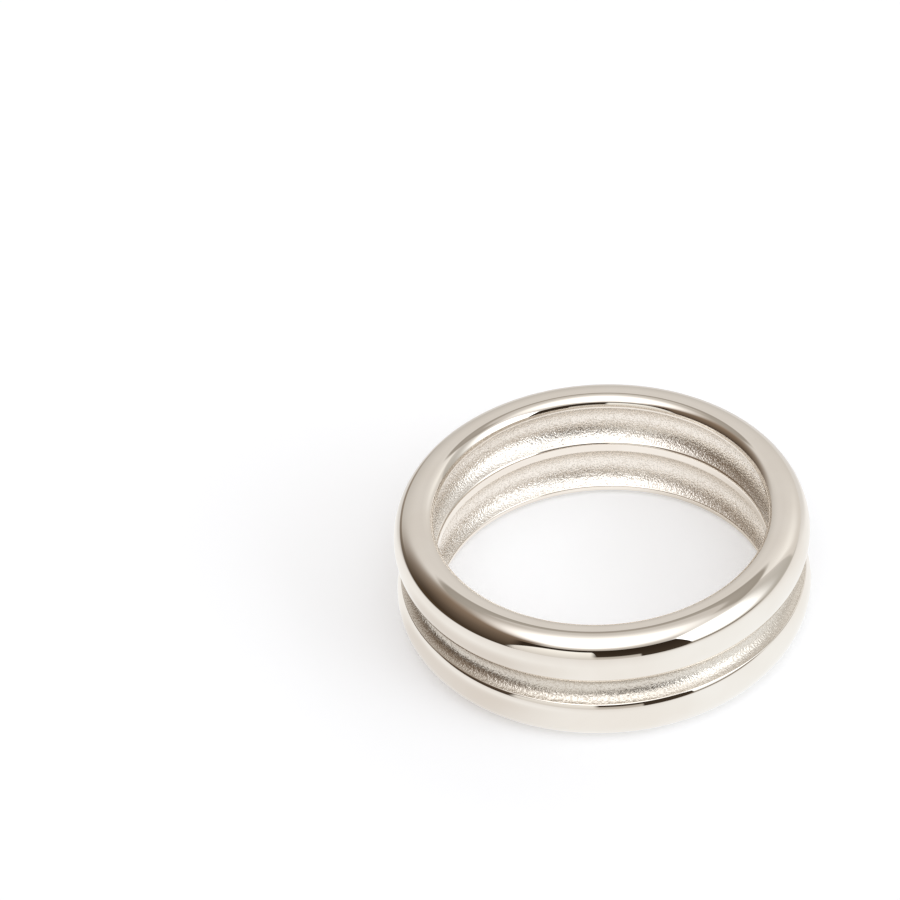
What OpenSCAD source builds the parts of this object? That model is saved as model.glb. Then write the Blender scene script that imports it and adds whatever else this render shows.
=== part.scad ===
// Double band ring: two domed bands in one casting, with a sunk groove between them.
// The ring lies on its side. The origin is the centre of its footprint, and +Z is the finger hole's axis.
// One cut through the wall gives the whole ring when it is turned round that axis. The points and
// centres below are in that cut, as [distance from the axis, height above the ring's middle].

/* [Ring] */
// Finger hole across, between the polished rims
hole_d = 17.3; // [15:0.1:21]
// Thickness of the wall, from the finger hole to the top of a dome
wall_t = 2.15; // [2.06:0.01:2.3]
// Width of the ring along the finger
ring_w = 6.66; // [6.4:0.02:7]

/* [Domes] */
// Height of a dome from its widest line to the flat that the ring rests on
dome_rise = 1.61; // [1.57:0.01:1.63]
// Radius of a dome's outer face
face_r = 1.92; // [1.88:0.02:1.96]
// Radius of a dome's shoulder
shoulder_r = 1.16; // [1.1:0.02:1.2]
// Radius of a dome's lip at the finger hole
lip_r = 0.45; // [0.35:0.01:0.45]
// Width of the flat that the ring rests on
rest_w = 0.2; // [0.1:0.02:0.24]

/* [Groove] */
// Width of the groove between the domes
groove_w = 1.6; // [1.4:0.05:2]
// Depth of the groove below its edges
groove_depth = 0.6; // [0.4:0.02:0.66]

/* [Channels] */
// Height of the polished rim between a lip and its channel
rim_h = 0.14; // [0.1:0.01:0.3]
// Width of the polished rib between the channels
rib_w = 0.58; // [0.4:0.02:0.9]
// Depth of a channel below the rib
channel_depth = 0.74; // [0.4:0.02:0.8]

/* [Hidden] */
$fn = 128;
// Largest turn between two neighbouring points of a dome, in degrees
turn = 6;
hole_r = hole_d / 2;
half_w = ring_w / 2;
// Height of a dome's widest line above or below the ring's middle
crown_z = half_w - dome_rise;
// Outer face: centre of its arc, and the direction in which the shoulder takes over
face_c = [hole_r + wall_t - face_r, crown_z];
face_end = asin((dome_rise - shoulder_r) / (face_r - shoulder_r));
// Shoulder: centres of its arc on the outer and on the inner side of the flat
outer_shoulder_c = face_c + (face_r - shoulder_r) * toward(face_end);
inner_shoulder_c = outer_shoulder_c - [rest_w, 0];
// Lip: the direction in which it takes over from the shoulder, and the centre of its arc
lip_start = acos((hole_r + lip_r - inner_shoulder_c[0]) / (shoulder_r - lip_r));
lip_c = inner_shoulder_c + (shoulder_r - lip_r) * toward(lip_start);
// Groove: distance of its edges from the axis, and the radius of its hollow
groove_edge_r = face_c[0] + sqrt(pow(face_r, 2) - pow(crown_z - groove_w / 2, 2));
groove_arc_r = arc_radius(groove_w, groove_depth);
// Web between the domes, before the groove is cut, and the direction in which the outer face leaves it
web_r = groove_edge_r - groove_depth / 4;
face_start = -acos((web_r - face_c[0]) / face_r);
// Channel: heights of its two edges, and the radius of its hollow
channel_top = lip_c[1] - rim_h;
channel_bottom = rib_w / 2;
channel_arc_r = arc_radius(channel_top - channel_bottom, channel_depth);

// Unit vector in a direction given in degrees, counted from straight outwards
function toward(angle) = [cos(angle), sin(angle)];

// Radius of the arc that has this chord and depth
function arc_radius(chord, depth) = (pow(chord / 2, 2) + pow(depth, 2)) / (2 * depth);

// Points along an arc, without its first one
function arc(centre, radius, from, to) =
    let (steps = ceil((to - from) / turn))
    [for (i = [1:steps]) centre + radius * toward(from + (to - from) * i / steps)];

// The same points from last to first, below the ring's middle
function mirrored(points) = [for (i = [len(points) - 1:-1:0]) [points[i][0], -points[i][1]]];

// Outline of the upper dome, from the web over the outer face and the flat to the finger hole
dome = concat(
    [face_c + face_r * toward(face_start)],
    arc(face_c, face_r, face_start, 0),
    arc(face_c, face_r, 0, face_end),
    arc(outer_shoulder_c, shoulder_r, face_end, 90),
    [inner_shoulder_c + shoulder_r * toward(90)],
    arc(inner_shoulder_c, shoulder_r, 90, lip_start),
    arc(lip_c, lip_r, lip_start, 180)
);

// Hollow between the two domes
module groove() {
    translate([groove_edge_r - groove_depth + groove_arc_r, 0]) circle(groove_arc_r);
}

// Hollow that is scooped out inside one dome: side is 1 for the upper one, -1 for the lower one
module channel(side) {
    translate([hole_r + channel_depth - channel_arc_r, side * (channel_top + channel_bottom) / 2])
        circle(channel_arc_r);
}

// Cut through the whole wall
module wall() {
    difference() {
        polygon(concat(dome, mirrored(dome)));
        groove();
        for (side = [-1, 1]) channel(side);
    }
}

module double_band() {
    color("#e6e0d8") translate([0, 0, half_w]) rotate_extrude() wall();
}

double_band();
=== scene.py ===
"""Looks of the double band ring: one silver casting, polished, with grained hollows, on a pale floor.

Sizes in the classes are in millimetres and angles in degrees. Meshes are made in metres, in the
solid's own place.
"""

import logging
import math
from dataclasses import dataclass, field
from enum import Enum

import bpy
import numpy as np
from mathutils import Matrix, Vector


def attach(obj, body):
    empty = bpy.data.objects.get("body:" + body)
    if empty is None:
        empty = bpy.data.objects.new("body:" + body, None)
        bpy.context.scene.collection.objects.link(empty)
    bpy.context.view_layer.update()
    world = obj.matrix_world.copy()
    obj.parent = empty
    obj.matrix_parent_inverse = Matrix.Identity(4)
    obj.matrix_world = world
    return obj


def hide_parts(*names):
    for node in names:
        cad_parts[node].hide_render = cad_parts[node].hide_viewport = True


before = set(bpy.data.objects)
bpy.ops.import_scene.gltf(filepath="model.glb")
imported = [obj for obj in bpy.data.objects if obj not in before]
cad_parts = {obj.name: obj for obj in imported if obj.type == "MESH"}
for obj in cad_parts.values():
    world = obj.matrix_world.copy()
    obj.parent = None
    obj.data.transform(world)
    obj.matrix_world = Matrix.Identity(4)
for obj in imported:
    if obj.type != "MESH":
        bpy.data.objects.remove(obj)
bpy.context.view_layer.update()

MM = 0.001
log = logging.getLogger("double_band_ring")

Colour = tuple[float, float, float]
Source = bpy.types.NodeSocket | float | tuple[float, ...]


class Finish(Enum):
    """Finish of a stretch of the ring's surface. The value is its material slot."""

    POLISHED = 0
    CHANNEL_GRAIN = 1
    GROOVE_GRAIN = 2


def toward(angle: np.ndarray | float) -> np.ndarray:
    """Unit vectors in the wall's cut: (cos, sin) of angles counted from straight outwards.

    Args:
        angle: One angle or an array of them, in degrees.

    Returns:
        The vectors, one row each, or one vector for one angle.
    """
    turned = np.radians(angle)
    return np.stack([np.cos(turned), np.sin(turned)], axis=-1)


def lattice_noise(places: np.ndarray, cell: float, seed: int) -> np.ndarray:
    """Smooth noise in space, from 0 to 1.

    Every corner of a cubic lattice has a seeded random value. At a place inside a cell the values of
    its eight corners are mixed, and the weight along each axis is t * t * (3 - 2 * t) of the way t
    through the cell.

    Args:
        places: Points, one row each.
        cell: Width of a lattice cell, in the points' unit.
        seed: Seed of the random values.

    Returns:
        One value for each point.
    """
    corners = 48
    values = np.random.default_rng(seed).random((corners, corners, corners))
    at = places / cell
    base = np.floor(at).astype(int)
    part = at - base
    weight = part * part * (3.0 - 2.0 * part)
    total = np.zeros(len(places))
    for step in np.ndindex(2, 2, 2):
        share = np.prod(np.where(np.array(step) == 1, weight, 1.0 - weight), axis=1)
        x, y, z = ((base + step) % corners).T
        total += share * values[x, y, z]
    return total


class NodeSheet:
    """Adds nodes to one node tree and joins them."""

    def __init__(self, tree: bpy.types.NodeTree) -> None:
        """Keeps the tree that the nodes go into."""
        self.tree = tree

    def add(self, kind: str, **settings: object) -> bpy.types.Node:
        """Adds one node.

        Args:
            kind: Blender's name for the node.
            settings: Values for the node's own fields.

        Returns:
            The node.
        """
        node = self.tree.nodes.new(kind)
        for name, value in settings.items():
            setattr(node, name, value)
        return node

    def feed(self, socket: bpy.types.NodeSocket, source: Source) -> None:
        """Links an output to an input, or sets the input's own value.

        Args:
            socket: The input.
            source: An output socket, a number, or a colour's red, green and blue.
        """
        if isinstance(source, bpy.types.NodeSocket):
            self.tree.links.new(source, socket)
        else:
            socket.default_value = (*source, 1.0) if socket.type == "RGBA" else source

    def math(self, operation: str, *sources: Source) -> bpy.types.NodeSocket:
        """One step of arithmetic on numbers.

        Args:
            operation: Name of the Math node's operation.
            sources: Its inputs in order.

        Returns:
            The result's socket.
        """
        node = self.add("ShaderNodeMath", operation=operation)
        for socket, source in zip(node.inputs, sources):
            self.feed(socket, source)
        return node.outputs[0]

    def ramp(
        self,
        value: Source,
        start: Source,
        end: Source,
        low: Source = 0.0,
        high: Source = 1.0,
        smooth: bool = True,
    ) -> bpy.types.NodeSocket:
        """Takes a value from one range to another and stops at its ends.

        Args:
            value: The value.
            start: Where the first range starts. It may be more than its end.
            end: Where the first range ends.
            low: Result at the start.
            high: Result at the end.
            smooth: Whether the result eases in and out, or runs straight.

        Returns:
            The result's socket.
        """
        node = self.add("ShaderNodeMapRange", interpolation_type="SMOOTHSTEP" if smooth else "LINEAR")
        for socket, source in zip(node.inputs, (value, start, end, low, high)):
            self.feed(socket, source)
        return node.outputs[0]

    def mix(self, share: Source, first: Source, second: Source) -> bpy.types.NodeSocket:
        """Mixes two colours.

        Args:
            share: Share of the second colour.
            first: Socket, or red, green and blue.
            second: The same.

        Returns:
            The mixed colour's socket.
        """
        node = self.add("ShaderNodeMix", data_type="RGBA")
        self.feed(node.inputs["Factor"], share)
        self.feed(node.inputs[6], first)
        self.feed(node.inputs[7], second)
        return node.outputs[2]

    def noise(self, place: Source, per_metre: Source, detail: float) -> bpy.types.NodeSocket:
        """Soft noise in space.

        Args:
            place: Where it is read.
            per_metre: Number of its lumps in a metre.
            detail: Number of finer layers on top.

        Returns:
            The noise's socket, from about 0 to 1.
        """
        node = self.add("ShaderNodeTexNoise")
        self.feed(node.inputs["Vector"], place)
        self.feed(node.inputs["Scale"], per_metre)
        self.feed(node.inputs["Detail"], detail)
        return node.outputs["Fac"]

    def bump(self, height: Source, distance: float) -> bpy.types.NodeSocket:
        """Turns a height into a normal.

        Args:
            height: The height.
            distance: How far a height of 1 stands up, in metres.

        Returns:
            The normal's socket.
        """
        node = self.add("ShaderNodeBump")
        self.feed(node.inputs["Distance"], distance)
        self.feed(node.inputs["Height"], height)
        return node.outputs["Normal"]

    def group(self, tree: bpy.types.NodeTree, **sources: Source) -> bpy.types.Node:
        """Adds a node group.

        Args:
            tree: The group's tree.
            sources: Sources for its inputs, by input name with _ for a space.

        Returns:
            The group's node.
        """
        node = self.add("ShaderNodeGroup", node_tree=tree)
        for name, source in sources.items():
            self.feed(node.inputs[name.replace("_", " ")], source)
        return node


def new_group(name: str, inputs: dict[str, str], outputs: dict[str, str]) -> tuple[NodeSheet, dict, dict]:
    """Starts a shader node group.

    Args:
        name: The group's name.
        inputs: Kind of socket for each input's name.
        outputs: Kind of socket for each output's name.

    Returns:
        A sheet for its nodes, the sockets that hold its inputs, and the sockets that take its outputs.
    """
    tree = bpy.data.node_groups.new(name, "ShaderNodeTree")
    for side, sockets in (("INPUT", inputs), ("OUTPUT", outputs)):
        for label, kind in sockets.items():
            tree.interface.new_socket(label, in_out=side, socket_type=kind)
    sheet = NodeSheet(tree)
    return sheet, sheet.add("NodeGroupInput").outputs, sheet.add("NodeGroupOutput").inputs


def new_material(name: str) -> tuple[bpy.types.Material, NodeSheet, bpy.types.Node]:
    """Starts a material.

    Args:
        name: The material's name.

    Returns:
        The material, a sheet for its nodes, and its shader.
    """
    made = bpy.data.materials.new(name)
    made.use_nodes = True
    return made, NodeSheet(made.node_tree), made.node_tree.nodes["Principled BSDF"]


@dataclass(frozen=True)
class MetalTone:
    """Slow changes of tone and polish over the metal, from soft noise in two sizes."""

    patch_detail: float = 3.0
    swell_scale: float = 0.6
    dull_level: float = 0.35
    bright_level: float = 0.65

    def group(self) -> bpy.types.NodeTree:
        """Makes the node group.

        Returns:
            A group with the outputs Tone, from 0 to 1, and Swell, a height for a bump.
        """
        sheet, given, result = new_group(
            "metal_tone",
            {"Vector": "NodeSocketVector", "Patches Per Metre": "NodeSocketFloat"},
            {"Tone": "NodeSocketFloat", "Swell": "NodeSocketFloat"},
        )
        place, per_metre = given["Vector"], given["Patches Per Metre"]
        patches = sheet.noise(place, per_metre, self.patch_detail)
        swell = sheet.noise(place, sheet.math("MULTIPLY", per_metre, self.swell_scale), 0.0)
        sheet.feed(result["Tone"], sheet.ramp(patches, self.dull_level, self.bright_level))
        sheet.feed(result["Swell"], swell)
        return sheet.tree


@dataclass(frozen=True)
class StruckGrain:
    """Fine struck grain: soft lumps with small pits between them.

    The height is noise plus a share of finer noise. Pits is high in the low places of the coarse one.
    """

    coarse_detail: float = 1.0
    fine_scale: float = 2.2
    lump_level: float = 0.52
    pit_level: float = 0.36

    def group(self) -> bpy.types.NodeTree:
        """Makes the node group.

        Returns:
            A group with the outputs Height and Pits.
        """
        sheet, given, result = new_group(
            "struck_grain",
            {
                "Vector": "NodeSocketVector",
                "Grains Per Metre": "NodeSocketFloat",
                "Fine Share": "NodeSocketFloat",
            },
            {"Height": "NodeSocketFloat", "Pits": "NodeSocketFloat"},
        )
        place, per_metre = given["Vector"], given["Grains Per Metre"]
        coarse = sheet.noise(place, per_metre, self.coarse_detail)
        fine = sheet.noise(place, sheet.math("MULTIPLY", per_metre, self.fine_scale), 0.0)
        raised = sheet.math("MULTIPLY", fine, given["Fine Share"])
        sheet.feed(result["Height"], sheet.math("ADD", coarse, raised))
        sheet.feed(result["Pits"], sheet.ramp(coarse, self.lump_level, self.pit_level))
        return sheet.tree


@dataclass(frozen=True)
class PolishedSilver:
    """Mirror-bright warm silver with a faint swell and faint changes of polish."""

    colour: Colour = (0.865, 0.82, 0.765)
    deep_colour: Colour = (0.845, 0.795, 0.735)
    clean_roughness: float = 0.01
    worn_roughness: float = 0.03
    patches_per_mm: float = 0.35
    swell: float = 0.0006

    def material(self, tone: bpy.types.NodeTree) -> bpy.types.Material:
        """Makes the material.

        Args:
            tone: The metal_tone group.

        Returns:
            The material.
        """
        made, sheet, shader = new_material("polished_silver")
        place = sheet.add("ShaderNodeTexCoord").outputs["Object"]
        looks = sheet.group(tone, Vector=place, Patches_Per_Metre=self.patches_per_mm / MM).outputs
        roughness = sheet.ramp(
            looks["Tone"], 0.0, 1.0, self.clean_roughness, self.worn_roughness, smooth=False
        )
        sheet.feed(shader.inputs["Metallic"], 1.0)
        sheet.feed(shader.inputs["Base Color"], sheet.mix(looks["Tone"], self.colour, self.deep_colour))
        sheet.feed(shader.inputs["Roughness"], roughness)
        sheet.feed(shader.inputs["Normal"], sheet.bump(looks["Swell"], self.swell * MM))
        return made


@dataclass(frozen=True)
class GrainedSilver:
    """Silver that was struck to a fine, glittering grain, with painted shade darkening its pits. The
    values are those of the channels.
    """

    name: str = "grained_silver"
    colour: Colour = (0.9, 0.86, 0.81)
    pit_shade_colour: Colour = (0.78, 0.73, 0.67)
    ridge_roughness: float = 0.19
    pit_roughness: float = 0.3
    grains_per_mm: float = 11.0
    fine_share: float = 0.3
    depth: float = 0.027
    patches_per_mm: float = 0.5
    palest_pit_shade: float = 0.7

    def material(self, tone: bpy.types.NodeTree, grain: bpy.types.NodeTree) -> bpy.types.Material:
        """Makes the material.

        Args:
            tone: The metal_tone group.
            grain: The struck_grain group.

        Returns:
            The material.
        """
        made, sheet, shader = new_material(self.name)
        place = sheet.add("ShaderNodeTexCoord").outputs["Object"]
        looks = sheet.group(tone, Vector=place, Patches_Per_Metre=self.patches_per_mm / MM).outputs
        struck = sheet.group(
            grain, Vector=place, Grains_Per_Metre=self.grains_per_mm / MM, Fine_Share=self.fine_share
        ).outputs
        # Painted shade: the grain's pits, its low places, take the darker pit colour, a little paler where
        # the metal tone is low.
        strength = sheet.ramp(looks["Tone"], 0.0, 1.0, self.palest_pit_shade, 1.0)
        pits = sheet.math("MULTIPLY", struck["Pits"], strength)
        roughness = sheet.ramp(
            struck["Pits"], 0.0, 1.0, self.ridge_roughness, self.pit_roughness, smooth=False
        )
        sheet.feed(shader.inputs["Metallic"], 1.0)
        sheet.feed(shader.inputs["Base Color"], sheet.mix(pits, self.colour, self.pit_shade_colour))
        sheet.feed(shader.inputs["Roughness"], roughness)
        sheet.feed(shader.inputs["Normal"], sheet.bump(struck["Height"], self.depth * MM))
        return made


@dataclass
class Stretch:
    """One arc or line of the wall's cut, with the metal's outward normal at each point.

    Points and normals hold [distance from the axis, height above the ring's middle], one row each.
    """

    points: np.ndarray
    normals: np.ndarray
    finish: Finish = Finish.POLISHED

    @classmethod
    def arc(
        cls,
        centre: np.ndarray,
        radius: float,
        start: float,
        end: float,
        steps: int,
        finish: Finish = Finish.POLISHED,
        hollow: bool = False,
    ) -> "Stretch":
        """Points on a circle at even turns: centre + radius * (cos, sin).

        Args:
            centre: The circle's centre.
            radius: Its radius.
            start: Direction of the first point from the centre.
            end: Direction of the last one.
            steps: Number of steps between them.
            finish: The stretch's finish.
            hollow: Whether the metal lies outside the circle.

        Returns:
            The stretch.
        """
        outward = toward(np.linspace(start, end, steps + 1))
        return cls(centre + radius * outward, -outward if hollow else outward, finish)

    @classmethod
    def line(cls, start: np.ndarray, end: np.ndarray, normal: float, steps: int = 1) -> "Stretch":
        """A straight stretch.

        Args:
            start: Its first point.
            end: Its last point.
            normal: Direction that it faces.
            steps: Number of steps.

        Returns:
            The stretch.
        """
        way = np.linspace(0.0, 1.0, steps + 1)[:, None]
        points = start + (end - start) * way
        return cls(points, np.broadcast_to(toward(normal), points.shape))

    def mirrored(self) -> "Stretch":
        """The same stretch below the ring's middle, from its last point to its first."""
        flip = np.array([1.0, -1.0])
        return Stretch(self.points[::-1] * flip, self.normals[::-1] * flip, self.finish)


@dataclass
class WallSection:
    """Cut through the ring's wall, with the same sizes as the solid's, and its edges softened."""

    hole_r: float = 8.65
    wall_t: float = 2.15
    ring_w: float = 6.66
    dome_rise: float = 1.61
    face_r: float = 1.92
    shoulder_r: float = 1.16
    lip_r: float = 0.45
    rest_w: float = 0.2
    groove_w: float = 1.6
    groove_depth: float = 0.6
    rim_h: float = 0.14
    rib_w: float = 0.58
    channel_depth: float = 0.74
    soft_lip_r: float = 0.62
    groove_edge_soft_r: float = 0.09
    rim_edge_soft_r: float = 0.12
    rib_edge_soft_r: float = 0.24

    def lip_centre(self, inner_c: np.ndarray, radius: float) -> tuple[np.ndarray, float]:
        """Centre of a lip that touches both the finger hole and the dome's inner shoulder.

        Args:
            inner_c: Centre of the inner shoulder.
            radius: The lip's radius.

        Returns:
            The lip's centre, and the direction in which it takes over from the shoulder.
        """
        apart = self.shoulder_r - radius
        start = math.degrees(math.acos((self.hole_r + radius - inner_c[0]) / apart))
        return inner_c + apart * toward(start), start

    def half(self) -> list[Stretch]:
        """The upper half, from the bottom of the groove over the dome to the middle of the rib.

        A softened edge is an arc that touches both of its neighbours: its centre is where two circles
        round their centres cross, each as far from its arc as the edge's radius. The lip is worn
        rounder than the solid's, and runs over the rim into the channel.

        Returns:
            The stretches in order.
        """
        half_w = self.ring_w / 2
        crown_z = half_w - self.dome_rise
        face_c = np.array([self.hole_r + self.wall_t - self.face_r, crown_z])
        apart = self.face_r - self.shoulder_r
        face_end = math.degrees(math.asin((self.dome_rise - self.shoulder_r) / apart))
        outer_c = face_c + apart * toward(face_end)
        inner_c = outer_c - [self.rest_w, 0.0]
        soft_lip_c, lip_start = self.lip_centre(inner_c, self.soft_lip_r)

        edge_r = face_c[0] + math.sqrt(self.face_r**2 - (crown_z - self.groove_w / 2) ** 2)
        groove_r = arc_radius(self.groove_w, self.groove_depth)
        groove_c = np.array([edge_r - self.groove_depth + groove_r, 0.0])
        soft = self.groove_edge_soft_r
        soft_c = crossing(groove_c, groove_r + soft, face_c, self.face_r - soft, outer=True)
        groove_end = bearing(groove_c, soft_c)
        face_start = bearing(face_c, soft_c)

        channel_top = self.lip_centre(inner_c, self.lip_r)[0][1] - self.rim_h
        channel_bottom = self.rib_w / 2
        channel_r = arc_radius(channel_top - channel_bottom, self.channel_depth)
        channel_mid = (channel_top + channel_bottom) / 2
        channel_c = np.array([self.hole_r + self.channel_depth - channel_r, channel_mid])
        rim = self.rim_edge_soft_r
        rim_c = crossing(soft_lip_c, self.soft_lip_r - rim, channel_c, channel_r + rim, outer=False)
        lip_end = bearing(soft_lip_c, rim_c)
        channel_start = bearing(channel_c, rim_c)
        rib = self.rib_edge_soft_r
        drop = math.sqrt((channel_r + rib) ** 2 - (self.hole_r + rib - channel_c[0]) ** 2)
        rib_c = np.array([self.hole_r + rib, channel_mid - drop])
        channel_end = bearing(channel_c, rib_c)

        return [
            Stretch.arc(groove_c, groove_r, 180.0, groove_end, 10, Finish.GROOVE_GRAIN, hollow=True),
            Stretch.arc(soft_c, soft, groove_end - 180.0, face_start, 4),
            Stretch.arc(face_c, self.face_r, face_start, face_end, 12),
            Stretch.arc(outer_c, self.shoulder_r, face_end, 90.0, 10),
            Stretch.line(outer_c + [0.0, self.shoulder_r], inner_c + [0.0, self.shoulder_r], 90.0),
            Stretch.arc(inner_c, self.shoulder_r, 90.0, lip_start, 2),
            Stretch.arc(soft_lip_c, self.soft_lip_r, lip_start, lip_end, 12),
            Stretch.arc(rim_c, rim, lip_end, 180.0 + channel_start, 5),
            Stretch.arc(
                channel_c, channel_r, channel_start, channel_end, 26, Finish.CHANNEL_GRAIN, hollow=True
            ),
            Stretch.arc(rib_c, rib, 180.0 + channel_end, 180.0, 5),
            Stretch.line(np.array([self.hole_r, rib_c[1]]), np.array([self.hole_r, 0.0]), 180.0),
        ]

    def loop(self) -> list[Stretch]:
        """The whole cut, once round against the clock: the upper half, then the same half mirrored."""
        half = self.half()
        return half + [stretch.mirrored() for stretch in reversed(half)]


def arc_radius(chord: float, depth: float) -> float:
    """Radius of the arc that has this chord and depth: (chord² / 4 + depth²) / (2 * depth)."""
    return ((chord / 2) ** 2 + depth**2) / (2 * depth)


def bearing(start: np.ndarray, end: np.ndarray) -> float:
    """Direction from one point of the cut to another, in degrees."""
    return math.degrees(math.atan2(end[1] - start[1], end[0] - start[0]))


def crossing(
    first: np.ndarray,
    first_r: float,
    second: np.ndarray,
    second_r: float,
    outer: bool,
) -> np.ndarray:
    """One of the two places where two circles cross.

    Args:
        first: Centre of the first circle.
        first_r: Its radius.
        second: Centre of the second circle.
        second_r: Its radius.
        outer: Whether it is the crossing farther from the ring's axis, or the nearer one.

    Returns:
        The crossing.
    """
    apart = float(np.linalg.norm(second - first))
    way = (second - first) / apart
    along = (first_r**2 - second_r**2 + apart**2) / (2 * apart)
    aside = math.sqrt(first_r**2 - along**2)
    across = np.array([way[1], -way[0]])
    inner_one, outer_one = sorted(
        (first + along * way + side * aside * across for side in (1, -1)), key=lambda point: point[0]
    )
    return outer_one if outer else inner_one


@dataclass
class RingCasting:
    """The ring: its wall's cut carried once round the axis, with real relief in the grained hollows.

    Grained rows have twice as many points as polished ones, and where the two meet, three triangles
    fill each step. The finer relief's cell is a share of the coarse one's.
    """

    section: WallSection = field(default_factory=WallSection)
    steps_round: int = 360
    relief_depth: float = 0.005
    relief_cell: float = 0.26
    fine_relief_cell: float = 0.55
    fine_relief_share: float = 0.4
    relief_seed: int = 7
    relief_fade: int = 2

    def rows(self) -> tuple[np.ndarray, np.ndarray, np.ndarray, np.ndarray]:
        """Lays the stretches end to end and drops the doubled points between them.

        Returns:
            Points of the cut, their normals, the finish of the strip that starts at each, and how many
            rows each lies inside a grained hollow, which is 0 outside.
        """
        points, normals, finishes, inside = [], [], [], []
        stretches = self.section.loop()
        for index, stretch in enumerate(stretches):
            count = len(stretch.points) - 1
            step = np.arange(count)
            # The groove's halves meet at the cut's first point, so only their outer ends are edges.
            from_edge = np.full(count, count) if index == 0 else step
            to_edge = np.full(count, count) if index == len(stretches) - 1 else count - step
            points.append(stretch.points[:-1])
            normals.append(stretch.normals[:-1])
            finishes.append(np.full(count, stretch.finish.value))
            inside.append(np.minimum(from_edge, to_edge) * (stretch.finish is not Finish.POLISHED))
        return tuple(np.concatenate(part) for part in (points, normals, finishes, inside))

    def build(self) -> bpy.types.Object:
        """Makes the casting's mesh and object.

        A point of row i at turn a is (r * cos a, r * sin a, z + half the ring's width), moved into the
        metal along its normal by the relief, which fades out at a hollow's edges. The relief is coarse
        noise mixed with a share of noise in finer cells.

        Returns:
            The object.
        """
        points, normals, finish, inside = self.rows()
        fine = (finish != Finish.POLISHED.value) | (np.roll(finish, 1) != Finish.POLISHED.value)
        counts = np.where(fine, 2 * self.steps_round, self.steps_round)
        starts = np.concatenate([[0], np.cumsum(counts)[:-1]])
        row = np.repeat(np.arange(len(counts)), counts)
        turn = 2 * np.pi * (np.arange(counts.sum()) - starts[row]) / counts[row]
        round_axis = np.stack([np.cos(turn), np.sin(turn)], axis=1)
        height = points[row, 1] + self.section.ring_w / 2
        vertices = np.column_stack([round_axis * points[row, :1], height])
        facing = np.column_stack([round_axis * normals[row, :1], normals[row, 1]])

        deep = np.clip(inside[row] / self.relief_fade, 0.0, 1.0)
        fine_cell, share = self.relief_cell * self.fine_relief_cell, self.fine_relief_share
        relief = (1.0 - share) * lattice_noise(vertices, self.relief_cell, self.relief_seed)
        relief += share * lattice_noise(vertices, fine_cell, self.relief_seed + 1)
        vertices -= facing * (self.relief_depth * relief * deep)[:, None]

        faces, slots = self.faces(counts, starts, finish)
        mesh = bpy.data.meshes.new("double_band_casting")
        mesh.from_pydata(vertices * MM, [], faces)
        mesh.polygons.foreach_set("material_index", slots)
        mesh.polygons.foreach_set("use_smooth", np.ones(len(faces), bool))
        mesh.update()
        shaded = np.empty(len(vertices) * 3)
        mesh.vertex_normals.foreach_get("vector", shaded)
        shaded = np.where((deep > 0)[:, None], shaded.reshape(-1, 3), facing)
        mesh.normals_split_custom_set_from_vertices(shaded)
        piece = bpy.data.objects.new("double_band_casting", mesh)
        bpy.context.collection.objects.link(piece)
        return piece

    def faces(self, counts: np.ndarray, starts: np.ndarray, finish: np.ndarray) -> tuple[list, np.ndarray]:
        """Joins each row to the next one and the last row to the first.

        Args:
            counts: Number of points in each row.
            starts: Number of each row's first point.
            finish: Material slot of the strip that starts at each row.

        Returns:
            The faces as lists of point numbers, and their material slots.
        """
        faces, slots = [], []
        for index in range(len(counts)):
            after = (index + 1) % len(counts)
            here, there = counts[index], counts[after]
            step = np.arange(min(here, there))
            following = (step + 1) % len(step)
            low, high = starts[index], starts[after]
            if here == there:
                strip = [np.stack([low + step, low + following, high + following, high + step], axis=1)]
            elif here > there:
                between, last = low + 2 * step + 1, low + (2 * step + 2) % here
                strip = [
                    np.stack([low + 2 * step, between, high + step], axis=1),
                    np.stack([between, last, high + following], axis=1),
                    np.stack([between, high + following, high + step], axis=1),
                ]
            else:
                between, last = high + 2 * step + 1, high + (2 * step + 2) % there
                strip = [
                    np.stack([low + step, between, high + 2 * step], axis=1),
                    np.stack([low + step, low + following, between], axis=1),
                    np.stack([low + following, last, between], axis=1),
                ]
            for part in strip:
                faces += part.tolist()
                slots.append(np.full(len(part), finish[index]))
        return faces, np.concatenate(slots).astype(np.int32)

    def dress(
        self,
        piece: bpy.types.Object,
        polished: PolishedSilver,
        channels: GrainedSilver,
        groove: GrainedSilver,
    ) -> None:
        """Gives the casting its finishes, in the order of the material slots.

        Args:
            piece: The casting.
            polished: Finish of the domes, lips, rims and rib.
            channels: Finish of the channels.
            groove: Finish of the groove.
        """
        tone, grain = MetalTone().group(), StruckGrain().group()
        piece.data.materials.append(polished.material(tone))
        for grained in (channels, groove):
            piece.data.materials.append(grained.material(tone, grain))


@dataclass(frozen=True)
class StudioCard:
    """A soft card, lamp or flag, by the directions that it fills as the ring sees it.

    Azimuth 0 is straight away from the camera and 90 to its right. Elevation is above the floor. The
    softness is that of the first azimuth, of the last one, and of the low and high ends. Over a taper at
    the first or last azimuth the card's top falls to the floor: straight when the bow is 1, rounded when
    it is more.
    """

    name: str
    azimuths: tuple[float, float]
    elevations: tuple[float, float]
    low_colour: Colour
    high_colour: Colour
    softness: tuple[float, float, float]
    tapers: tuple[float, float] = (0.0, 0.0)
    bow: float = 1.0


@dataclass(frozen=True)
class RoundLamp:
    """A round soft lamp overhead, seen on a level plane at height 1 above the ring.

    Middle and radius are [to the right, away from the camera] on that plane. The light fades from the
    inner share of the radius to the outer one. Over left_rows, to the left of the ring, both change to
    their values for the left. Below the lowest height a direction counts as that high.
    """

    colour: Colour = (2.0, 2.0, 2.0)
    middle: tuple[float, float] = (-0.14, -0.63)
    radius: tuple[float, float] = (0.64, 0.65)
    inner: float = 0.3
    outer: float = 1.6
    left_inner: float = 0.25
    left_outer: float = 1.68
    left_rows: tuple[float, float] = (-0.2, -0.8)
    lowest: float = 0.02


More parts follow.
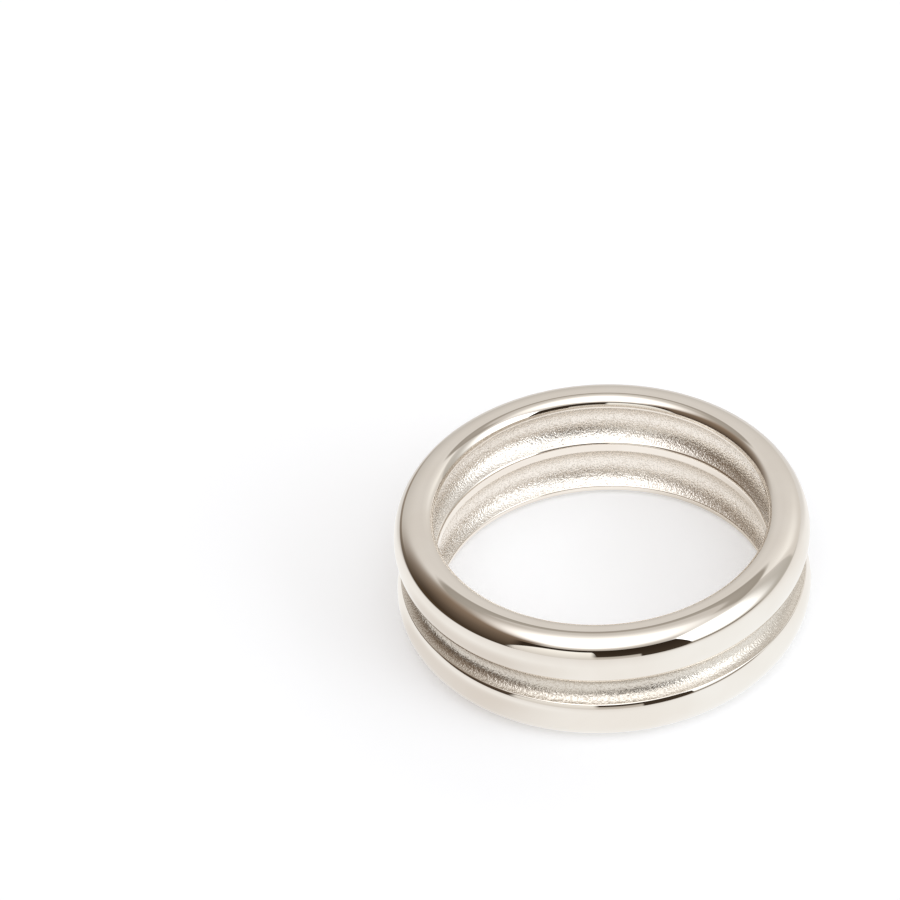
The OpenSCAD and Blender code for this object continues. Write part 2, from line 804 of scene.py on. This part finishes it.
@dataclass
class StudioSurroundings:
    """Soft light round the ring: a large lamp overhead, a window, pale cards and dark flags."""

    seen: Colour = (1.0, 1.0, 1.0)
    wall: Colour = (0.68, 0.65, 0.615)
    lamp: RoundLamp = RoundLamp()
    cards: tuple[StudioCard, ...] = (
        StudioCard(
            "left_wall", (-143.0, -36.0), (-30.0, 110.0), (0.155, 0.095, 0.047), (0.69, 0.66, 0.62),
            softness=(16.0, 32.0, 10.0),
        ),
        StudioCard(
            "left_shade", (-143.0, -60.0), (-10.0, 50.0), (0.01, 0.004, 0.0), (0.3, 0.225, 0.165),
            softness=(16.0, 40.0, 20.0),
        ),
        StudioCard(
            "far_wall", (-46.0, 46.0), (-10.0, 48.5), (0.57, 0.545, 0.51), (0.8, 0.775, 0.745),
            softness=(30.0, 30.0, 3.0),
        ),
        StudioCard(
            "near_wall", (150.0, 217.0), (-10.0, 33.0), (0.6, 0.56, 0.51), (0.6, 0.56, 0.51),
            softness=(14.0, 16.0, 8.0),
        ),
        StudioCard(
            "far_right_card", (24.0, 69.0), (-6.0, 53.5), (0.74, 0.71, 0.67), (0.9, 0.88, 0.85),
            softness=(52.0, 4.0, 3.0), tapers=(26.0, 24.0), bow=4.5,
        ),
        StudioCard(
            "far_right_middle", (44.0, 63.0), (20.0, 43.0), (1.06, 1.05, 1.02), (1.06, 1.05, 1.02),
            softness=(34.0, 8.0, 26.0),
        ),
        StudioCard(
            "far_band", (-60.0, 88.0), (49.5, 61.5), (0.38, 0.35, 0.31), (0.46, 0.43, 0.39),
            softness=(20.0, 16.0, 3.0),
        ),
        StudioCard(
            "right_gap", (69.0, 104.0), (-6.0, 47.0), (0.5, 0.48, 0.44), (0.66, 0.64, 0.61),
            softness=(3.0, 20.0, 8.0),
        ),
        StudioCard(
            "right_glow", (97.0, 152.0), (40.0, 76.0), (0.86, 0.84, 0.81), (0.9, 0.89, 0.87),
            softness=(24.0, 16.0, 10.0),
        ),
        StudioCard(
            "window_foot", (94.0, 165.0), (-6.0, 6.0), (0.52, 0.5, 0.46), (0.66, 0.64, 0.6),
            softness=(20.0, 4.0, 2.0),
        ),
    )
    window: StudioCard = StudioCard(
        "window", (103.0, 165.0), (6.5, 44.5), (2.5, 2.6, 2.68), (2.5, 2.6, 2.68),
        softness=(50.0, 2.0, 11.0), tapers=(0.0, 65.0), bow=2.5,
    )
    flags: tuple[StudioCard, ...] = (
        StudioCard(
            "front_flag", (139.75, 229.0), (-4.0, 27.8), (0.06, 0.044, 0.03), (0.03, 0.02, 0.013),
            softness=(2.0, 8.0, 1.6), tapers=(7.0, 0.0), bow=1.3,
        ),
        StudioCard(
            "window_sill", (99.0, 142.0), (-4.0, 2.0), (0.2, 0.16, 0.12), (0.2, 0.16, 0.12),
            softness=(14.0, 2.0, 1.0),
        ),
        StudioCard(
            "front_card", (165.5, 192.0), (-4.0, 7.6), (0.78, 0.75, 0.71), (0.5, 0.46, 0.41),
            softness=(1.5, 1.5, 2.5),
        ),
        StudioCard(
            "front_left_card", (188.5, 230.5), (-4.0, 22.2), (0.68, 0.65, 0.61), (1.14, 1.13, 1.08),
            softness=(4.0, 6.0, 1.2), tapers=(4.0, 26.0), bow=2.6,
        ),
    )

    def card_group(self) -> bpy.types.NodeTree:
        """Mask of one card: 1 inside its directions, easing to 0 over its softness.

        Returns:
            A group with the outputs Mask and Rise, which runs from 0 at the card's low end to 1 at its
            high end.
        """
        names = ("Azimuth", "Elevation", "Middle", "Half Width", "Low", "High")
        names += ("First Softness", "Last Softness", "End Softness", "First Taper", "Last Taper", "Bow")
        sheet, given, result = new_group(
            "studio_card",
            {name: "NodeSocketFloat" for name in names},
            {"Mask": "NodeSocketFloat", "Rise": "NodeSocketFloat"},
        )
        along = sheet.math("SUBTRACT", given["Azimuth"], given["Middle"])
        along = sheet.math("WRAP", along, 180.0, -180.0)
        mask, left, least_run = 1.0, 1.0, 0.01
        for way, end in ((-1.0, "First"), (1.0, "Last")):
            outward = sheet.math("MULTIPLY", along, way)
            soft = sheet.math("MULTIPLY", given[end + " Softness"], 0.5)
            outer = sheet.math("ADD", given["Half Width"], soft)
            inner = sheet.math("SUBTRACT", given["Half Width"], soft)
            mask = sheet.math("MULTIPLY", mask, sheet.ramp(outward, outer, inner))
            begin = sheet.math("SUBTRACT", outer, given[end + " Taper"])
            run = sheet.ramp(outward, begin, sheet.math("ADD", outer, least_run), smooth=False)
            left = sheet.math("SUBTRACT", left, sheet.math("POWER", run, given["Bow"]))
        top = sheet.math("MULTIPLY", given["High"], left)
        soft = sheet.math("MULTIPLY", given["End Softness"], 0.5)
        for edge, way in ((given["Low"], 1.0), (top, -1.0)):
            outer = sheet.math("MULTIPLY_ADD", soft, -way, edge)
            inner = sheet.math("MULTIPLY_ADD", soft, way, edge)
            mask = sheet.math("MULTIPLY", mask, sheet.ramp(given["Elevation"], outer, inner))
        rise = sheet.ramp(given["Elevation"], given["Low"], given["High"], smooth=False)
        sheet.feed(result["Mask"], mask)
        sheet.feed(result["Rise"], rise)
        return sheet.tree

    def build(self) -> None:
        """Makes the world. The camera itself sees one plain pale colour there, as the floor's."""
        world = bpy.data.worlds.new("studio")
        bpy.context.scene.world = world
        world.use_nodes = True
        world.node_tree.nodes.clear()
        sheet = NodeSheet(world.node_tree)
        split = sheet.add("ShaderNodeSeparateXYZ")
        sheet.feed(split.inputs[0], sheet.add("ShaderNodeTexCoord").outputs["Generated"])
        x, y, z = split.outputs
        azimuth = sheet.math("DEGREES", sheet.math("ARCTAN2", x, y))
        elevation = sheet.math("DEGREES", sheet.math("ARCSINE", z))

        colour, group = self.wall, self.card_group()
        for card in (*self.cards, self.window):
            colour = self.lay(sheet, group, card, colour, azimuth, elevation)
        colour = sheet.mix(self.lamp_mask(sheet, x, y, z), colour, self.lamp.colour)
        for card in self.flags:
            colour = self.lay(sheet, group, card, colour, azimuth, elevation)

        straight = sheet.add("ShaderNodeLightPath").outputs["Is Camera Ray"]
        colour = sheet.mix(straight, colour, self.seen)
        light = sheet.add("ShaderNodeBackground")
        sheet.feed(light.inputs["Color"], colour)
        sheet.feed(sheet.add("ShaderNodeOutputWorld").inputs["Surface"], light.outputs[0])

    def lamp_mask(
        self, sheet: NodeSheet, x: bpy.types.NodeSocket, y: bpy.types.NodeSocket, z: bpy.types.NodeSocket
    ) -> bpy.types.NodeSocket:
        """Mask of the round lamp.

        Args:
            sheet: Sheet of the world's nodes.
            x: Direction's part to the right.
            y: Its part away from the camera.
            z: Its part upwards.

        Returns:
            The mask's socket: 1 in the lamp's middle and 0 outside.
        """
        lamp, height = self.lamp, sheet.math("MAXIMUM", z, self.lamp.lowest)
        reach = []
        for part, middle, radius in zip((x, y), lamp.middle, lamp.radius):
            off = sheet.math("SUBTRACT", sheet.math("DIVIDE", part, height), middle)
            reach.append(sheet.math("POWER", sheet.math("DIVIDE", off, radius), 2.0))
        share = sheet.math("SQRT", sheet.math("ADD", *reach))
        leftness = sheet.ramp(sheet.math("DIVIDE", x, height), *lamp.left_rows)
        outer = sheet.ramp(leftness, 0.0, 1.0, lamp.outer, lamp.left_outer, smooth=False)
        inner = sheet.ramp(leftness, 0.0, 1.0, lamp.inner, lamp.left_inner, smooth=False)
        return sheet.ramp(share, outer, inner)

    def lay(
        self,
        sheet: NodeSheet,
        group: bpy.types.NodeTree,
        card: StudioCard,
        colour: Source,
        azimuth: bpy.types.NodeSocket,
        elevation: bpy.types.NodeSocket,
    ) -> bpy.types.NodeSocket:
        """Lays one card over the colours so far.

        Args:
            sheet: Sheet of the world's nodes.
            group: The card group.
            card: The card.
            colour: Colours so far.
            azimuth: Direction's azimuth.
            elevation: Direction's elevation.

        Returns:
            The colours with the card.
        """
        (first, last), (low, high) = card.azimuths, card.elevations
        first_soft, last_soft, end_soft = card.softness
        node = sheet.group(
            group,
            Azimuth=azimuth,
            Elevation=elevation,
            Middle=(first + last) / 2,
            Half_Width=(last - first) / 2,
            Low=low,
            High=high,
            First_Softness=first_soft,
            Last_Softness=last_soft,
            End_Softness=end_soft,
            First_Taper=card.tapers[0],
            Last_Taper=card.tapers[1],
            Bow=card.bow,
        )
        node.label = card.name
        own = sheet.mix(node.outputs["Rise"], card.low_colour, card.high_colour)
        return sheet.mix(node.outputs["Mask"], colour, own)


@dataclass(frozen=True)
class FloorPatch:
    """A patch of the floor that the metal sees in a tone of its own.

    It eases in over the azimuths of its start, out over those of its end, and over the distances of its
    reach from the ring's axis. It is full at the second number of each pair.
    """

    tone: Colour
    start: tuple[float, float]
    end: tuple[float, float]
    reach: tuple[float, float]

    def lay(
        self,
        sheet: NodeSheet,
        tone: Source,
        azimuth: bpy.types.NodeSocket,
        away: bpy.types.NodeSocket,
    ) -> bpy.types.NodeSocket:
        """Lays the patch over the tones so far.

        Args:
            sheet: Sheet of the floor's nodes.
            tone: Tones so far.
            azimuth: Azimuth of a place on the floor.
            away: Its distance from the axis.

        Returns:
            The tones with the patch.
        """
        turned = sheet.math("MULTIPLY", sheet.ramp(azimuth, *self.start), sheet.ramp(azimuth, *self.end))
        return sheet.mix(sheet.math("MULTIPLY", turned, sheet.ramp(away, *self.reach)), tone, self.tone)


@dataclass
class PaleFloor:
    """Plain pale floor under the ring. It glows a little, which is painted light that lifts it and keeps
    the ring's shadow on it faint.

    The metal sees it in its own way, as a painted reflection of light and shade, without the ring's real
    faint shadow: bright inside the finger hole and close by, brighter still towards the window, slowly
    darker farther off, with painted shade round the ring's foot, on the near left and in the hole's right
    side, and dark on the left, past a line that left_way points straight across. Each other pair of
    numbers is where a change begins and where it is full. The rings are shares of the radius.
    """

    radius: float = 1200.0
    rings: tuple[float, ...] = (0.02, 0.1, 0.4, 1.0)
    steps: int = 64
    colour: Colour = (0.915, 0.935, 0.98)
    painted_glow: Colour = (0.19, 0.19, 0.185)
    near_tone: Colour = (1.0, 1.0, 0.99)
    away_tone: Colour = (0.87, 0.85, 0.83)
    near_r: float = 20.0
    away_power: float = -0.8
    # Painted light: towards the window the reflected floor is brighter, a painted pool of light.
    window_side_light: FloorPatch = FloorPatch((1.03, 1.05, 1.055), (80.0, 112.0), (172.0, 140.0), (110.0, 20.0))
    # Painted shade: close to the ring on the near left the reflected floor is darker.
    near_left_shade: FloorPatch = FloorPatch((0.83, 0.8, 0.77), (-80.0, -100.0), (-172.0, -135.0), (22.0, 13.0))
    far_tone: Colour = (0.79, 0.775, 0.755)
    far_rows: tuple[float, float] = (8.0, 16.0)
    far_end: tuple[float, float] = (75.0, 50.0)
    horizon: FloorPatch = FloorPatch((0.55, 0.53, 0.49), (56.0, 72.0), (168.0, 150.0), (60.0, 260.0))
    left_way: tuple[float, float] = (-0.74, 0.67)
    left_rows: tuple[float, float] = (29.0, 45.0)
    left_start: tuple[float, float] = (-8.0, -32.0)
    left_tone: Colour = (0.07, 0.047, 0.027)
    left_far_tone: Colour = (0.34, 0.29, 0.24)
    left_far: tuple[float, float] = (-80.0, -30.0)
    hole_tone: Colour = (1.06, 1.04, 1.02)
    # Painted shade: the right side of the finger hole's floor is darker in reflections.
    hole_right_shade: Colour = (0.68, 0.63, 0.57)
    hole_right: tuple[float, float] = (0.5, 6.5)
    hole_edge: tuple[float, float] = (9.1, 8.8)
    # Painted shadow: the reflected floor is darker in a thin band round the ring's foot.
    contact_shadow_tone: float = 0.85
    contact_out: tuple[float, float] = (9.45, 9.95)
    contact_in: tuple[float, float] = (9.1, 8.6)

    def build(self) -> bpy.types.Object:
        """Makes the floor as rings of quads round a middle disc: r * (cos a, sin a) at even turns a.

        Returns:
            The floor's object.
        """
        steps, step = self.steps, np.arange(self.steps)
        turn = 2 * np.pi * step / steps
        reach = np.array(self.rings) * self.radius * MM
        spots = reach[:, None, None] * np.stack([np.cos(turn), np.sin(turn)], axis=1)
        vertices = np.column_stack([spots.reshape(-1, 2), np.zeros(len(reach) * steps)])
        following = (step + 1) % steps
        inner = steps * np.arange(len(reach) - 1)[:, None]
        outer = inner + steps
        quads = np.stack([inner + step, outer + step, outer + following, inner + following], axis=-1)
        mesh = bpy.data.meshes.new("pale_floor")
        mesh.from_pydata(vertices, [], [list(range(steps)), *quads.reshape(-1, 4).tolist()])
        floor = bpy.data.objects.new("pale_floor", mesh)
        bpy.context.collection.objects.link(floor)
        mesh.materials.append(self.material())
        return floor

    def material(self) -> bpy.types.Material:
        """Makes the floor's material: matt and glowing with painted light, and for reflections the tones
        alone, which are a painted reflection.

        Returns:
            The material.
        """
        made, sheet, shader = new_material("pale_floor")
        sheet.feed(shader.inputs["Base Color"], self.colour)
        sheet.feed(shader.inputs["Roughness"], 1.0)
        sheet.feed(shader.inputs["Specular IOR Level"], 0.0)
        # Painted light: the floor glows though it is no lamp, which keeps the ring's shadow on it faint.
        sheet.feed(shader.inputs["Emission Color"], self.painted_glow)
        sheet.feed(shader.inputs["Emission Strength"], 1.0)

        place = sheet.add("ShaderNodeTexCoord").outputs["Object"]
        split = sheet.add("ShaderNodeSeparateXYZ")
        sheet.feed(split.inputs[0], place)
        x, y = (sheet.math("DIVIDE", part, MM) for part in split.outputs[:2])
        length = sheet.add("ShaderNodeVectorMath", operation="LENGTH")
        sheet.feed(length.inputs[0], place)
        away = sheet.math("DIVIDE", length.outputs["Value"], MM)
        azimuth = sheet.math("DEGREES", sheet.math("ARCTAN2", x, y))

        farness = sheet.math("MAXIMUM", sheet.math("DIVIDE", away, self.near_r), 1.0)
        nearness = sheet.math("POWER", farness, self.away_power)
        tone = sheet.mix(nearness, self.away_tone, self.near_tone)
        for patch in (self.window_side_light, self.near_left_shade):
            tone = patch.lay(sheet, tone, azimuth, away)
        beyond = sheet.math("MULTIPLY", sheet.ramp(y, *self.far_rows), sheet.ramp(azimuth, *self.far_end))
        tone = sheet.mix(beyond, tone, self.far_tone)
        tone = self.horizon.lay(sheet, tone, azimuth, away)
        # Painted reflection: past a line on the left the reflected floor turns dark, standing in for dark
        # surroundings.
        left = sheet.math("MULTIPLY", x, self.left_way[0])
        left = sheet.ramp(sheet.math("MULTIPLY_ADD", y, self.left_way[1], left), *self.left_rows)
        left = sheet.math("MULTIPLY", left, sheet.ramp(azimuth, *self.left_start))
        dark = sheet.mix(sheet.ramp(azimuth, *self.left_far), self.left_tone, self.left_far_tone)
        tone = sheet.mix(left, tone, dark)
        hole = sheet.mix(sheet.ramp(x, *self.hole_right), self.hole_tone, self.hole_right_shade)
        tone = sheet.mix(sheet.ramp(away, *self.hole_edge), tone, hole)
        # Painted shadow round the ring's foot, seen only in reflections.
        contact_shadow = sheet.ramp(away, *self.contact_out, self.contact_shadow_tone, 1.0)
        contact_shadow = sheet.math("MAXIMUM", contact_shadow, sheet.ramp(away, *self.contact_in))
        # Painted reflection: glossy rays see these tones as light, in place of the floor's own shading.
        mirrored = sheet.add("ShaderNodeEmission")
        sheet.feed(mirrored.inputs["Color"], tone)
        sheet.feed(mirrored.inputs["Strength"], contact_shadow)
        choice = sheet.add("ShaderNodeMixShader")
        sheet.feed(choice.inputs[0], sheet.add("ShaderNodeLightPath").outputs["Is Glossy Ray"])
        sheet.feed(choice.inputs[1], shader.outputs[0])
        sheet.feed(choice.inputs[2], mirrored.outputs[0])
        sheet.feed(made.node_tree.nodes["Material Output"].inputs["Surface"], choice.outputs[0])
        return made


@dataclass
class PhotoCamera:
    """Camera at the photograph's viewing angle."""

    place: tuple[float, float, float] = (-7.555, -233.992, 210.099)
    down: float = 40.362
    roll: float = -3.902
    lens: float = 240.0
    clip: tuple[float, float] = (20.0, 4000.0)

    def build(self) -> None:
        """Makes the camera and gives it to the scene."""
        data = bpy.data.cameras.new("photo_camera")
        data.lens = self.lens
        data.clip_start, data.clip_end = (edge * MM for edge in self.clip)
        camera = bpy.data.objects.new("photo_camera", data)
        turn = Matrix.Rotation(math.radians(90.0 - self.down), 4, "X")
        turn @= Matrix.Rotation(math.radians(self.roll), 4, "Z")
        camera.matrix_world = Matrix.Translation(Vector(self.place) * MM) @ turn
        bpy.context.collection.objects.link(camera)
        bpy.context.scene.camera = camera


def main() -> None:
    """Builds the scene and reports each piece."""
    logging.basicConfig(level=logging.INFO, format="%(name)s: %(message)s")
    bpy.context.scene.view_settings.view_transform = "Standard"
    PhotoCamera().build()
    StudioSurroundings().build()
    PaleFloor().build()

    ring = RingCasting()
    piece = ring.build()
    # Painted shade: the groove's grain is darker all over, standing in for the shade deep between the
    # domes.
    groove = GrainedSilver(
        name="shaded_groove_silver",
        colour=(0.76, 0.71, 0.645),
        pit_shade_colour=(0.69, 0.635, 0.565),
        ridge_roughness=0.27,
        pit_roughness=0.38,
        grains_per_mm=9.0,
        depth=0.024,
    )
    ring.dress(piece, PolishedSilver(), GrainedSilver(), groove)
    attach(piece, "root")
    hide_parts("double_band")
    piece.data.calc_loop_triangles()
    log.info("%s: %d triangles", piece.name, len(piece.data.loop_triangles))


if __name__ == "__main__":
    main()
